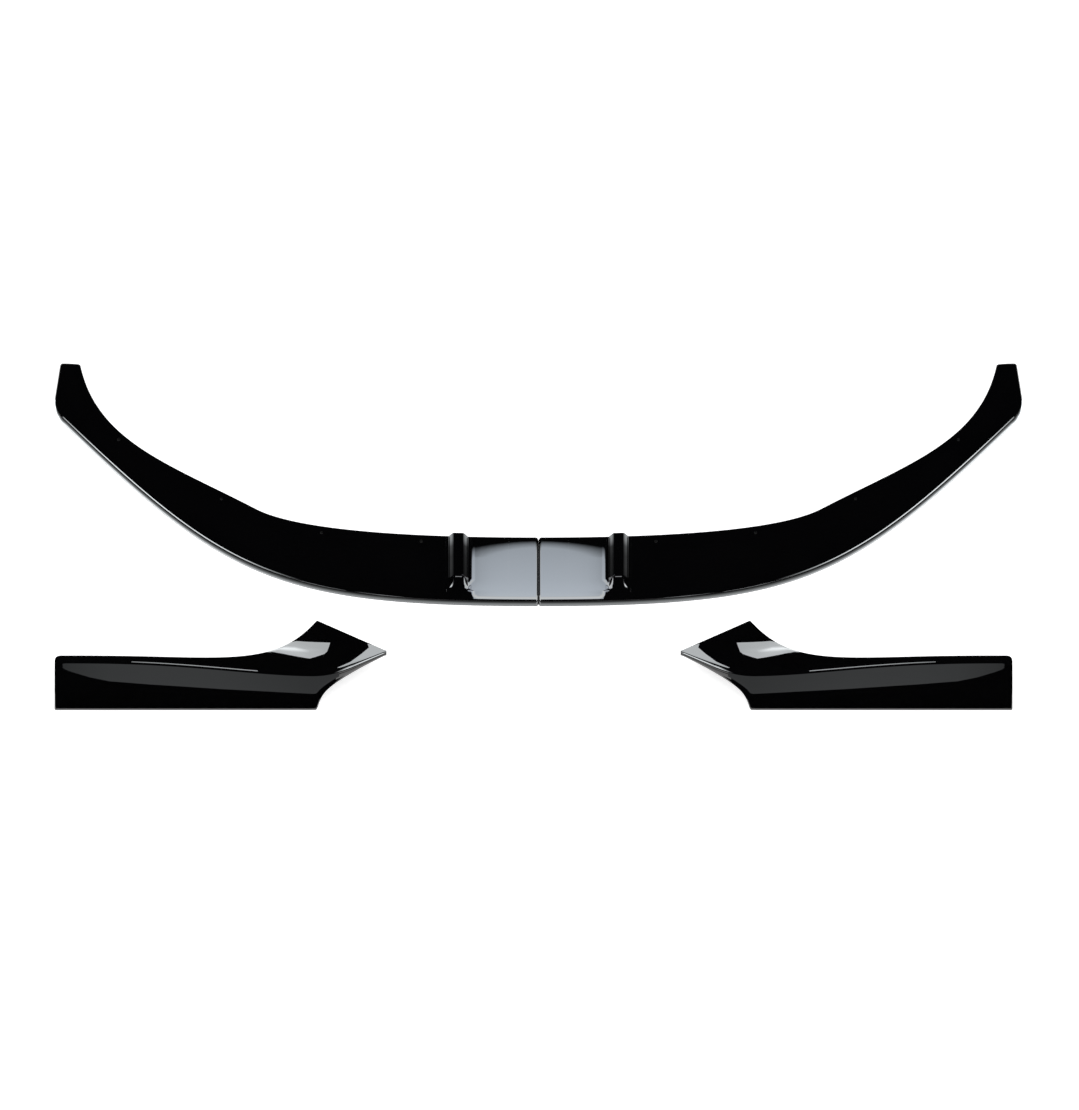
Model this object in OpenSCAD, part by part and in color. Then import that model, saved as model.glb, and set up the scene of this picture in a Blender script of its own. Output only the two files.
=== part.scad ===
/* [Lip outline, seen from above] */
// Width over the two cheek corners, measured before they are rounded
lip_w = 1760; // [1640:4:1880]
// How far the cheek corners sit behind the leading edge
cheek_back = 403; // [360:1:450]
// Angle of the front edge where it reaches the cheek
cheek_angle = 48; // [42:1:52]
// How far from the seam the leading edge stays close to straight
nose_run = 472; // [420:2:520]
// How far ahead of the cheek the front edge starts to straighten
cheek_run = 444; // [380:2:480]
// Length of front edge and of flank that the rounded cheek corner takes
cheek_round = 28; // [10:1:34]
// Length of the flank, from the cheek corner back to the tip
flank_len = 98; // [70:1:120]
// How far the flank closes inwards on its way to the tip
flank_in = 13.5; // [4:0.5:24]
// Width of the cut-off tip
tip_w = 37; // [28:1:46]
// How far the inner corner of the tip sits ahead of the outer one
tip_skew = 6; // [0:0.5:12]

/* [Rear edge of the lip] */
// Depth of the blade at the seam, front to rear
chord = 132; // [115:1:150]
// How far from the seam the rear edge stays close to straight
rear_run = 379; // [320:1:420]
// Distance of the knee, where the arm begins, from the seam
knee_out = 512; // [480:2:560]
// How far the knee sits behind the rear edge at the seam
knee_back = 60; // [45:1:80]
// Angle of the rear edge at the knee
knee_angle = 31; // [25:1:36]
// Length of the bend ahead of the knee
knee_lead = 40; // [25:1:60]
// Length of the easy run behind the knee
knee_trail = 184; // [140:2:220]
// Angle of the rear edge at the tip
tip_angle = 80; // [70:1:88]
// Length over which the rear edge turns up to the tip
tip_lead = 165; // [120:1:200]

/* [Section of the lip] */
// Height of the front edge
front_h = 15.5; // [14:0.5:22]
// Height of the rear edge
rear_h = 22; // [18:0.5:30]
// Rise of the blade's crown above a straight line
crown = 1.5; // [0:0.1:3]
// Wall thickness of the mouldings
wall = 3; // [2.5:0.1:3.5]
// Radius along the front edge
nose_r = 3.5; // [2:0.1:5]
// Radius along the rear edge
rear_r = 2; // [1:0.1:3]
// Lean of the front face, so that it leaves the mould
face_draft = 1.5; // [0.5:0.1:3]
// Radius round the end of each half at the seam
seam_r = 2.5; // [1.5:0.1:3]
// Radius round the cut-off tip
tip_r = 6; // [3:0.5:8]
// Gap between the two halves
seam_gap = 0.3; // [0.2:0.1:0.6]

/* [Fins and centre panel] */
// Distance of each fin from the seam
fin_out = 145; // [130:1:165]
// Width of a fin along its top
fin_w = 17; // [12:0.5:22]
// Spread of each side of a fin, from its top to its foot
fin_flare = 9; // [6:0.5:12]
// Height of a fin over the blade
fin_h = 13; // [8:0.5:18]
// Distance of the foot of a fin from the leading edge
fin_start = 23; // [18:0.5:30]
// Length of the sloping front of a fin
fin_ramp = 19; // [12:0.5:30]
// Depth of the panel between the fins
panel_dip = 1.5; // [0.5:0.1:2]
// Width of the sloping border of that panel
panel_edge = 4; // [2:0.5:6]
// Width of plain blade between the foot of a fin and the panel
panel_gap = 8; // [5:0.5:12]
// Radius of the front corners of the panel
panel_corner = 11; // [8:0.5:14]
// How far the panel sends a point out ahead of each fin
horn_out = 15; // [8:0.5:17]
// Distance of that point from the leading edge
horn_at = 26; // [24:0.5:30]
// Length over which the side of the panel runs out to the point
horn_lead = 18; // [14:0.5:24]
// Length over which it comes back in ahead of the point
horn_back = 5; // [3:0.5:7]
// Square run of blade outside each fin, up to its first screw
fin_land = 50; // [40:1:60]

/* [Underside of the lip] */
// Thickness of the stiffening ribs
rib_t = 2.4; // [1.6:0.1:3]
// Clear height left under the ribs and the screw bosses
rib_clear = 6; // [3:0.5:9]
// Number of ribs across each half
rib_count = 5; // [3:1:6]
// Number of screws that hold each half under the bumper
screw_count = 4; // [3:1:5]
// Bore for a bumper screw
screw_d = 6.5; // [5:0.1:7]
// Outside diameter of a screw boss
boss_d = 14; // [12:0.5:16]
// Distance of the bumper screws from the rear edge
screw_edge = 14; // [12:0.5:18]
// Distance of the last bumper screw from the cheek corner
screw_tail = 60; // [45:1:80]
// Distance of the first rib from the foot of the fin
rib_lead = 18; // [12:1:28]
// Distance of the last rib from the cheek corner
rib_tail = 20; // [14:1:30]
// Bore for the two bolts that join the halves
join_d = 6.5; // [5:0.1:7]
// Distance of the first joining bolt from the leading edge
join_start = 34; // [24:1:44]
// Distance between the two joining bolts
join_pitch = 62; // [50:1:70]

/* [Corner pieces] */
// Length of a corner piece, end of the bar to the tip of the wing
corner_len = 601; // [560:1:640]
// Length of the bar along its lower edge
bar_len = 476; // [440:1:500]
// Height of the bar at its plain end
bar_h = 112; // [100:1:125]
// Height of the wing over the lower edge of the bar
wing_h = 83; // [76:1:92]
// Width of the top face at the plain end of the bar
ledge_w = 18; // [14:0.5:24]
// How far the rear corner of the wing sits behind the face
wing_back = 166; // [140:1:185]
// How far the tip of the wing sits behind the face
tip_back = 72; // [60:1:85]
// Depth of the edge round the wing
wing_edge = 9; // [7:0.5:12]
// Swell of the face of the bar
face_swell = 5; // [2:0.5:8]
// Radius along the crease between face and top
crease_r = 7; // [4:0.5:9]
// Radius of the upper corner at the plain end
end_r = 11; // [6:0.5:16]
// Width left at the tip of the wing
wing_tip_w = 4; // [3:0.5:6]
// Length over which the top face turns out into the wing
ledge_turn = 70; // [60:1:85]
// How much wider the top face gets before that turn
ledge_rise = 16; // [10:1:20]
// Length of bar over which its face starts to turn in under the wing
root_lead = 16; // [10:1:24]
// Length of wing over which the face ends its turn
root_trail = 32; // [26:1:38]

/* [Fixing lugs of the corner pieces] */
// Number of screw lugs behind the face of the bar
lug_count = 3; // [2:1:4]
// Width of a lug
lug_w = 26; // [20:1:32]
// How far a lug stands out behind the face
lug_reach = 22; // [18:1:26]
// Height of the lugs over the lower edge
lug_h = 30; // [24:1:40]
// Bore of a lug
lug_d = 5.5; // [4.5:0.1:6.5]

/* [Layout of the set] */
// Distance of the bars from the leading edge of the lip
layout_gap = 219; // [205:1:260]
// Distance of the plain end of each bar from the centre line
layout_out = 867; // [850:1:880]
// How far the pair of corner pieces lies to the right of the centre line
layout_shift = -9; // [-12:1:12]

/* [Hidden] */
$fn = 48;
paint = "#101012";
sink = 0.8;
min_r = 0.5;

// Plain curve helpers: a curve of four control points, and the place on it at a given x
function clamp01(v) = min(1, max(0, v));
function mix(a, b, f) = a + (b - a) * f;
function bez(p, t) = (1 - t)^3 * p[0] + 3 * (1 - t)^2 * t * p[1] + 3 * (1 - t) * t^2 * p[2] + t^3 * p[3];
function bez_at(p, x, lo = 0, hi = 1, n = 26) =
    n == 0 ? (lo + hi) / 2
    : bez(p, (lo + hi) / 2)[0] < x ? bez_at(p, x, (lo + hi) / 2, hi, n - 1)
    : bez_at(p, x, lo, (lo + hi) / 2, n - 1);
function heading(a) = [cos(a), sin(a)];

// A value held between 0 and 1, with both corners eased over k
function low_of(a, b, k) = min(a, b) - (max(k - abs(a - b), 0) / k)^3 * k / 6;
function eased(v, k) = -low_of(-low_of(v, 1, k), 0, k);

// Front edge of one half: nose, rounded cheek corner, flank
cheek = [lip_w / 2, cheek_back];
cheek_in = cheek - cheek_round * heading(cheek_angle);
front_curve = [[0, 0], [nose_run, 0], cheek_in - cheek_run * heading(cheek_angle), cheek_in];
tip_outer = cheek + [-flank_in, flank_len];
flank_dir = (tip_outer - cheek) / norm(tip_outer - cheek);
cheek_out = cheek + cheek_round * flank_dir;
tip_inner = tip_outer - [tip_w, tip_skew];

// Stations are counted along the half: across the nose by x, then by length round the cheek
u_nose = cheek_in[0];
u_cheek = u_nose + 2 * cheek_round;
u_tip = u_cheek + norm(tip_outer - cheek_out);

function cheek_pt(q) = (1 - q)^2 * cheek_in + 2 * (1 - q) * q * cheek + q^2 * cheek_out;
function front_pt(u) =
    u <= u_nose ? bez(front_curve, bez_at(front_curve, u))
    : u <= u_cheek ? cheek_pt((u - u_nose) / (u_cheek - u_nose))
    : mix(cheek_out, tip_outer, (u - u_cheek) / (u_tip - u_cheek));

// Rear edge of one half: straight run to the knee, then the arm up to the tip
fin_foot = fin_w / 2 + fin_flare;
knee = [knee_out, chord + knee_back];
rear_nose = [[0, chord], [rear_run, chord], knee - knee_lead * heading(knee_angle), knee];
rear_arm = [knee, knee + knee_trail * heading(knee_angle),
            tip_inner - tip_lead * heading(tip_angle), tip_inner];
square_run = fin_out + fin_foot + fin_land;
arm_end = tip_inner[0] - 0.75 * tip_w;
arm_end_t = bez_at(rear_arm, arm_end);
function rear_x(u) = u < square_run ? u : mix(square_run, arm_end, (u - square_run) / (u_nose - square_run));
function rear_pt(u) =
    u > u_nose ? bez(rear_arm, mix(arm_end_t, 1, (u - u_nose) / (u_tip - u_nose)))
    : rear_x(u) < knee[0] ? bez(rear_nose, bez_at(rear_nose, rear_x(u)))
    : bez(rear_arm, bez_at(rear_arm, rear_x(u)));

// Height of the blade at s behind the front edge, on a section of depth len at station u
side_ease = 0.3;
ramp_ease = 0.25;
function fin_at(u, s, thin) =
    fin_h * eased((fin_foot - thin - abs(u - fin_out)) / fin_flare, side_ease)
    * eased((s - fin_start - thin) / fin_ramp, ramp_ease);
panel_out = fin_out - fin_foot - panel_gap;
panel_front = face_draft + nose_r + 1;
function panel_side(s) =
    panel_out + horn_out * clamp01(min((s - horn_at) / horn_back + 1, (horn_at - s) / horn_lead + 1));
function panel_in(u, s) =
    panel_corner - norm([max(panel_corner - panel_side(s) + u, 0), max(panel_corner - s + panel_front, 0)]);
function panel_at(u, s, len) = panel_dip * eased(panel_in(u, s) / panel_edge, side_ease) * (1 - s / len);
function blade_h(u, s, len, thin) =
    mix(front_h, rear_h, s / len) + 4 * crown * s * (len - s) / len^2
    + fin_at(u, s, thin) - panel_at(u, s, len);

// How far a section draws in at the rounded ends of a half
u_seam = seam_gap / 2;
function round_in(r, d) = d >= r ? 0 : r - sqrt(r^2 - (r - d)^2);
function draw_in(u) = round_in(seam_r, u - u_seam) + round_in(tip_r, u_tip - u);

// One section: front face, nose radius, blade, rear radius and rear face
ramp_steps = [-ramp_ease, 0, ramp_ease, 1 - ramp_ease, 1, 1 + ramp_ease];
blade_front = face_draft + nose_r;
blade_steps = [for (s = concat([for (t = [0.5, 1]) panel_front + t * panel_edge],
                               [for (t = ramp_steps) fin_start + t * fin_ramp],
                               [0.55 * chord, 0.78 * chord]))
    (s - blade_front) / (chord - rear_r - blade_front)];
function lip_profile(u, len, thick) =
    let (e = draw_in(u) + thick,
         r1 = max(nose_r - thick, min_r),
         r2 = max(rear_r - thick, min_r),
         thin = 0.55 * thick,
         sa = e + face_draft + r1,
         sb = len - e - r2,
         za = blade_h(u, sa, len, thin) - e - r1,
         zb = blade_h(u, sb, len, thin) - e - r2)
    concat([[e, 0]],
           [for (a = [0:22.5:90]) [sa - r1 * cos(a), za + r1 * sin(a)]],
           [for (f = blade_steps) let (s = mix(sa, sb, f)) [s, blade_h(u, s, len, thin) - e]],
           [for (a = [90:-45:0]) [sb + r2 * cos(a), zb + r2 * sin(a)]],
           [[len - e, 0]]);
function lip_section(u, thick) =
    let (f = front_pt(u), r = rear_pt(u), len = norm(r - f), d = (r - f) / len)
    [for (p = lip_profile(u, len, thick)) [f[0] + d[0] * p[0], f[1] + d[1] * p[0], p[1]]];

// Stations: the rounded seam end, panel, fin, arm, cheek, flank and the rounded tip
round_steps = [90, 62, 35, 0];
side_steps = [-side_ease, 0, side_ease, 1 - side_ease, 1, 1 + side_ease];
fin_side = [for (t = side_steps) fin_foot - t * fin_flare];
fin_steps = concat(-fin_side, [0], [for (k = [len(fin_side) - 1:-1:0]) fin_side[k]]);
lip_stations = concat(
    [for (a = round_steps) u_seam + seam_r * (1 - sin(a))],
    [for (f = [0.2, 0.5, 0.8]) f * panel_out],
    [panel_out - 0.8 * panel_corner],
    [for (k = [len(side_steps) - 1:-1:0]) panel_out - side_steps[k] * panel_edge],
    [for (s = fin_steps) fin_out + s],
    [for (k = [0:17]) mix(square_run - 25, u_nose, k / 17)],
    [for (k = [1:5]) mix(u_nose, u_cheek, k / 5)],
    [for (k = [1:2]) mix(u_cheek, u_tip - tip_r, k / 2)],
    [for (k = [2:-1:0]) u_tip - tip_r * (1 - sin(round_steps[k]))]);
// The inside of the tray follows the same stations, held one wall clear of both ends
hold = 30;
function inside(u) =
    u < u_seam + hold ? u_seam + wall + (u - u_seam) * (hold - wall) / hold
    : u > u_tip - hold ? u_tip - wall - (u_tip - u) * (hold - wall) / hold : u;
lip_outer = [for (u = lip_stations) lip_section(u, 0)];
lip_inner = [for (u = lip_stations) lip_section(inside(u), wall)];

// A thin-walled tray from two sets of sections: outer skin, inner skin, end walls and rim
module tray(outer, inner) {
    n = len(outer);
    m = len(outer[0]);
    function o(i, j) = i * m + j;
    function q(i, j) = (n + i) * m + j;
    function quad(a, b, c, d) = [[a, b, c], [a, c, d]];
    function cap(pick, flip) = [for (j = [0:(m - 3) / 2])
        let (a = pick(j), b = pick(j + 1), c = pick(m - 2 - j), d = pick(m - 1 - j),
             faces = b == c ? [[a, d, c]] : quad(a, d, c, b))
        each flip ? [for (t = faces) [t[2], t[1], t[0]]] : faces];
    skin = [for (i = [0:n - 2]) for (j = [0:m - 2])
        each quad(o(i, j), o(i, j + 1), o(i + 1, j + 1), o(i + 1, j))];
    lining = [for (i = [0:n - 2]) for (j = [0:m - 2])
        each quad(q(i, j), q(i + 1, j), q(i + 1, j + 1), q(i, j + 1))];
    caps = concat(cap(function(j) o(0, j), false), cap(function(j) o(n - 1, j), true),
                  cap(function(j) q(0, j), true), cap(function(j) q(n - 1, j), false));
    rim = concat(
        [for (i = [0:n - 2]) each quad(o(i, 0), o(i + 1, 0), q(i + 1, 0), q(i, 0))],
        [for (i = [0:n - 2]) each quad(q(i, m - 1), q(i + 1, m - 1), o(i + 1, m - 1), o(i, m - 1))],
        quad(o(0, 0), q(0, 0), q(0, m - 1), o(0, m - 1)),
        quad(q(n - 1, 0), o(n - 1, 0), o(n - 1, m - 1), q(n - 1, m - 1)));
    polyhedron(points = [for (row = concat(outer, inner)) each row],
               faces = concat(skin, lining, caps, rim), convexity = 8);
}

// A stiffening rib across the tray at station u, sunk a little into the walls around it
module lip_rib(u) {
    f = front_pt(u);
    r = rear_pt(u);
    len = norm(r - f);
    reach = wall - sink;
    top = [for (k = [0:6]) let (s = mix(reach + face_draft, len - reach, k / 6))
        [s, blade_h(u, s, len, wall) - wall + sink - (k == 0 ? 1 : 0)]];
    translate([f[0], f[1], 0])
        rotate([0, 0, atan2(r[1] - f[1], r[0] - f[0])])
            rotate([90, 0, 0])
                translate([0, 0, -rib_t / 2])
                    linear_extrude(rib_t)
                        polygon(concat([[reach + face_draft, rib_clear]], top, [[len - reach, rib_clear]]));
}

// Screw bosses hang from the blade just ahead of its rear edge
screw_first = square_run;
screw_last = u_nose - screw_tail;
function screw_u(k) = mix(screw_first, screw_last, k / (screw_count - 1));
function screw_pt(u) = let (f = front_pt(u), r = rear_pt(u)) r + screw_edge * (f - r) / norm(f - r);
function screw_top(u) = let (len = norm(rear_pt(u) - front_pt(u))) blade_h(u, len - screw_edge, len, 0);
rib_first = fin_out + fin_foot + rib_lead;
function rib_u(k) = mix(rib_first, u_nose - rib_tail, k / (rib_count - 1));

module lip_half() {
    color(paint)
        difference() {
            union() {
                tray(lip_outer, lip_inner);
                for (k = [0:rib_count - 1]) lip_rib(rib_u(k));
                for (k = [0:screw_count - 1]) {
                    p = screw_pt(screw_u(k));
                    translate([p[0], p[1], rib_clear])
                        cylinder(h = screw_top(screw_u(k)) - wall + sink - rib_clear, d = boss_d);
                }
            }
            for (k = [0:screw_count - 1]) {
                p = screw_pt(screw_u(k));
                translate([p[0], p[1], 0]) cylinder(h = 2 * rear_h, d = screw_d);
            }
            for (y = [join_start, join_start + join_pitch])
                translate([-1, y, front_h / 2]) rotate([0, 90, 0]) cylinder(h = 2 * wall + 2, d = join_d);
        }
}

// Corner piece in its own frame: bar along x, face at y = 0, lower edge at z = 0.
// Set down, it leans back until the rear corner of its wing touches the ground.
rest_lean = atan((wing_h - wing_edge) / wing_back);
wing_root = bar_len - 1;
ledge_curve = [[0, ledge_w], [0.7 * wing_root, ledge_w],
               [wing_root - ledge_turn, ledge_w + ledge_rise], [wing_root, wing_back]];
root_side = [root_trail, 0] + [12, 12];
wing_front = [[bar_len - root_lead, 0], [bar_len + root_trail, 0],
              [bar_len, 0] + root_side, [corner_len, tip_back - wing_tip_w]];
brow = [20, -17];
wing_under = [[bar_len - 1, 0], [bar_len + 0.4 * brow[0], 0.5 * wing_h],
              [bar_len, wing_h] + brow, [corner_len, wing_h - wing_edge]];
function face_y(x) = x <= wing_front[0][0] ? 0 : bez(wing_front, bez_at(wing_front, x))[1];
function under_z(x) = max(face_y(x) * tan(rest_lean),
    x <= wing_under[0][0] ? 0 : bez(wing_under, bez_at(wing_under, x))[1]);
function ledge_y(x) = x <= wing_root ? bez(ledge_curve, bez_at(ledge_curve, x))[1]
    : mix(wing_back, tip_back, (x - wing_root) / (corner_len - wing_root));
function crest_z(x) = let (t = min(1, x / wing_root)) mix(bar_h, wing_h, t^3 * (4 - 3 * t)) - round_in(end_r, x);

// One section of a corner piece: lower edge, swelling face, crease, top face and rear edge
function corner_profile(x, thick) =
    let (e = round_in(seam_r, x) + thick,
         y0 = face_y(x) + e,
         y1 = ledge_y(x) - e,
         lip = thick > 0 ? 0 : min(rear_r, (y1 - y0) / 4),
         z0 = under_z(x) + (e + lip) * tan(rest_lean),
         z1 = crest_z(x) - e,
         swell = face_swell * clamp01((z1 - z0) / bar_h),
         r1 = max(min(crease_r, (y1 - y0) / 2.5, (z1 - z0) / 2.5) - thick, min_r),
         r2 = max(min(rear_r, (y1 - y0) / 4) - thick, min_r))
    concat([[y0 + lip, z0], [y0, z0 + lip]],
           [for (f = [0.2, 0.4, 0.6, 0.8]) let (z = mix(z0 + lip, z1 - r1, f))
               [y0 - swell * 4 * f * (1 - f), z]],
           [for (a = [0:22.5:90]) [y0 + r1 - r1 * cos(a), z1 - r1 + r1 * sin(a)]],
           [for (f = [0.33, 0.66]) [mix(y0 + r1, y1 - r2, f), z1]],
           [for (a = [90:-45:0]) [y1 - r2 + r2 * cos(a), z1 - r2 + r2 * sin(a)]],
           [[y1, crest_z(x) - wing_edge]]);
function corner_section(x, thick) = [for (p = corner_profile(x, thick)) [x, p[0], p[1]]];
end_steps = [38, 20, 0];
corner_stations = concat(
    [for (a = round_steps) seam_r * (1 - sin(a))],
    [for (a = end_steps) end_r * (1 - sin(a))],
    [for (k = [1:9]) k * (wing_front[0][0] - 30) / 9],
    [for (x = [-15, 0, 8]) wing_front[0][0] + x],
    [wing_root],
    [for (k = [1:5]) bez(wing_under, k / 14)[0]],
    [for (k = [1:8]) let (from = bez(wing_under, 5 / 14)[0]) mix(from, corner_len, k / 8)]);
solid_tip = 13;
function hollow(x) =
    x < hold ? wall + x * (hold - wall) / hold
    : x > corner_len - hold ? corner_len - solid_tip - (corner_len - x) * (hold - solid_tip) / hold : x;
corner_outer = [for (x = corner_stations) corner_section(x, 0)];
corner_inner = [for (x = corner_stations) corner_section(hollow(x), wall)];

// A lug behind the face, and a gusset between face and top face
lug_end = 60;
function lug_x(k) = mix(lug_end, bar_len - lug_end, k / (lug_count - 1));
function swell_at(x, z) = let (f = z / crest_z(x)) face_swell * 4 * f * (1 - f);
module lug(x) {
    root = wall - sink - swell_at(x, lug_h);
    translate([x - lug_w / 2, root, lug_h]) cube([lug_w, wall + lug_reach - root, wall]);
}
module gusset(x) {
    drop = min(crest_z(x) / 2, 3 * ledge_y(x));
    translate([x + rib_t / 2, 0, 0])
        rotate([90, 0, -90])
            linear_extrude(rib_t)
                polygon([[-wall + sink, crest_z(x) - wall + sink], [-wall + sink, crest_z(x) - drop],
                         [-ledge_y(x) + wall - sink, crest_z(x) - wing_edge + 1],
                         [-ledge_y(x) + wall - sink, crest_z(x) - wall + sink]]);
}

module corner_piece() {
    color(paint)
        difference() {
            union() {
                tray(corner_outer, corner_inner);
                for (k = [0:lug_count - 1]) lug(lug_x(k));
                for (k = [0:lug_count - 2]) gusset((lug_x(k) + lug_x(k + 1)) / 2);
            }
            for (k = [0:lug_count - 1])
                translate([lug_x(k), wall + lug_reach / 2, lug_h - 1]) cylinder(h = wall + 2, d = lug_d);
        }
}

// The set as it lies: lip behind, corner pieces in front, all of it centred on the origin
function lean_y(p) = p[1] * cos(rest_lean) + p[2] * sin(rest_lean);
set_front = min([for (row = corner_outer) for (p = row) lean_y(p)]) - layout_gap;
set_rear = max([for (row = lip_outer) for (p = row) p[1]]);
centre_y = -(set_front + set_rear) / 2;

module place_corner() {
    translate([-layout_out, centre_y - layout_gap, 0])
        rotate([-rest_lean, 0, 0]) corner_piece();
}
module lip_right() { translate([0, centre_y, 0]) lip_half(); }
module lip_left() { mirror([1, 0, 0]) lip_right(); }
module corner_left() { translate([layout_shift, 0, 0]) place_corner(); }
module corner_right() { translate([layout_shift, 0, 0]) mirror([1, 0, 0]) place_corner(); }

lip_left();
lip_right();
corner_left();
corner_right();
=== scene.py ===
import math

import bpy
import numpy as np
from mathutils import Matrix, Vector


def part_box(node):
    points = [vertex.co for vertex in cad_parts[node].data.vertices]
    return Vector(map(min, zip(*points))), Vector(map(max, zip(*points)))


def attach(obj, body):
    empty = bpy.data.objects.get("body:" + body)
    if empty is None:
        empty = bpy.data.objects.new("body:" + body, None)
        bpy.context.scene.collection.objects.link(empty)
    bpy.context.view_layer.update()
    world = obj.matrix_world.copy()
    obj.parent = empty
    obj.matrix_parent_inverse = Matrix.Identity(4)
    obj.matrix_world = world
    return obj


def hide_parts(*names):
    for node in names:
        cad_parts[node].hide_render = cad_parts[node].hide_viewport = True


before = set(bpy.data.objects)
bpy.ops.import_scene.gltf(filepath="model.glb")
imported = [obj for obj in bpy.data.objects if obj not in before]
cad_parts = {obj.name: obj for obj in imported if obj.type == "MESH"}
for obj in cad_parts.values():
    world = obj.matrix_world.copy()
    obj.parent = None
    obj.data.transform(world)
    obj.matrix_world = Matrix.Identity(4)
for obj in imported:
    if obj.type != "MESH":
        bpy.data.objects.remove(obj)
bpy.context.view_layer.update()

# The lip
# A front lip in two mirrored halves that butt at the middle. Each is a thin tray of ABS plastic,
# injection moulded in one with its fin, open below, then sprayed black and lacquered to a gloss.
lip_width = 1.760
cheek_depth, cheek_angle, cheek_run, cheek_round = 0.403, 48, 0.444, 0.028
nose_run = 0.472
flank_length, flank_closing = 0.098, 0.0135
tip_width, tip_skew = 0.037, 0.006
blade_depth, rear_run = 0.132, 0.379
front_height, rear_height, crown = 0.0155, 0.022, 0.0015
knee_out, knee_depth, knee_angle, knee_lead, knee_trail = 0.512, 0.060, 31, 0.040, 0.184
tip_angle, tip_lead, tip_close = 80, 0.165, 0.75
wall = 0.003
nose_radius, rear_radius, face_draft = 0.0035, 0.002, 0.0015
seam_radius, tip_radius, seam_gap = 0.005, 0.006, 0.00002
least_radius = 0.0005
fin_out, fin_width, fin_flare, fin_height = 0.145, 0.020, 0.0075, 0.013
fin_start, fin_ramp, fin_lining = 0.023, 0.019, 0.55
panel_border, panel_gap, panel_corner, panel_dip = 0.004, 0.008, 0.011, 0.0015
horn_out, horn_at, horn_lead, horn_back = 0.015, 0.026, 0.018, 0.005
fin_foot = fin_width / 2 + fin_flare
panel_out = fin_out - fin_foot - panel_gap
square_run = fin_out + fin_foot + 0.050
blade_start, blade_end = face_draft + nose_radius, blade_depth - rear_radius
panel_front = blade_start + 0.001


def curve_point(handles, t):
    """A point on the plain curve of four handles."""
    return (
        (1 - t) ** 3 * handles[0] + 3 * (1 - t) ** 2 * t * handles[1]
        + 3 * (1 - t) * t**2 * handles[2] + t**3 * handles[3]
    )


def curve_at(handles, x):
    """How far along the curve its first coordinate reaches x, found by halving."""
    low, high = 0.0, 1.0
    for _ in range(40):
        middle = (low + high) / 2
        if curve_point(handles, middle)[0] < x:
            low = middle
        else:
            high = middle
    return (low + high) / 2


def curve_over(handles, x):
    """The point of the curve whose first coordinate is x."""
    return curve_point(handles, curve_at(handles, x))


def heading(degrees):
    return np.array([math.cos(math.radians(degrees)), math.sin(math.radians(degrees))])


cheek = np.array([lip_width / 2, cheek_depth])
cheek_in = cheek - cheek_round * heading(cheek_angle)
front_curve = np.array([
    [0, 0], [nose_run, 0], cheek_in - cheek_run * heading(cheek_angle), cheek_in])
tip_outer = cheek + [-flank_closing, flank_length]
cheek_past = cheek + cheek_round * (tip_outer - cheek) / np.linalg.norm(tip_outer - cheek)
tip_inner = tip_outer - [tip_width, tip_skew]
run_nose = cheek_in[0]
run_cheek = run_nose + 2 * cheek_round
run_tip = run_cheek + np.linalg.norm(tip_outer - cheek_past)
knee = np.array([knee_out, blade_depth + knee_depth])
rear_curve = np.array([
    [0, blade_depth], [rear_run, blade_depth], knee - knee_lead * heading(knee_angle), knee])
arm_curve = np.array([
    knee, knee + knee_trail * heading(knee_angle), tip_inner - tip_lead * heading(tip_angle),
    tip_inner])
arm_end = tip_inner[0] - tip_close * tip_width


def front_edge(run):
    """Front outline of one half: the long curve, the rounded cheek, then the straight flank."""
    if run <= run_nose:
        return curve_over(front_curve, run)
    if run <= run_cheek:
        q = (run - run_nose) / (run_cheek - run_nose)
        return (1 - q) ** 2 * cheek_in + 2 * (1 - q) * q * cheek + q**2 * cheek_past
    return cheek_past + (tip_outer - cheek_past) * (run - run_cheek) / (run_tip - run_cheek)


def rear_edge(run):
    """Rear outline of one half, where it faces the same run of the front outline."""
    if run > run_nose:
        start = curve_at(arm_curve, arm_end)
        return curve_point(
            arm_curve, start + (1 - start) * (run - run_nose) / (run_tip - run_nose))
    x = run
    if run >= square_run:
        x = square_run + (arm_end - square_run) * (run - square_run) / (run_nose - square_run)
    return curve_over(rear_curve if x < knee_out else arm_curve, x)


def rounded(radius, distance):
    """How far a skin draws in, at this distance from an end that has a radius."""
    if distance >= radius:
        return 0
    return radius - math.sqrt(max(0.0, radius**2 - (radius - distance) ** 2))


def hold_clear(run, start, end, far=wall, reach=0.030):
    """The lining follows the skin's stations but stops short of both ends."""
    if run < start + reach:
        return start + wall + (run - start) * (reach - wall) / reach
    if run > end - reach:
        return end - far - (end - run) * (reach - far) / reach
    return run


def even(start, end, step):
    """Evenly spaced stations from start up to end, no further apart than step."""
    return np.linspace(start, end, int(math.ceil((end - start) / step)) + 1)


# Stations along one half: close together at the seam, the panel's side, the fin, the cheek and
# the tip, and further apart between them.
plain_step, border_step, fin_step, cheek_step, flank_step = 0.010, 0.001, 0.0009, 0.0035, 0.008
seam_end = seam_gap / 2
turns = np.radians([90, 75, 60, 45, 30, 15, 0])
lip_runs = np.concatenate([
    seam_end + seam_radius * (1 - np.sin(turns)),
    even(0.008, panel_out - 0.017, plain_step),
    even(panel_out - 0.014, panel_out + 0.004, border_step),
    even(fin_out - fin_foot - 0.004, fin_out + fin_foot + 0.004, fin_step),
    even(fin_out + fin_foot + 0.008, run_nose, plain_step),
    even(run_nose + 0.003, run_cheek, cheek_step),
    even(run_cheek + 0.006, run_tip - tip_radius, flank_step),
    run_tip - tip_radius * (1 - np.sin(turns[-2::-1])),
])
lip_runs = np.unique(np.round(lip_runs, 6))


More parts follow.
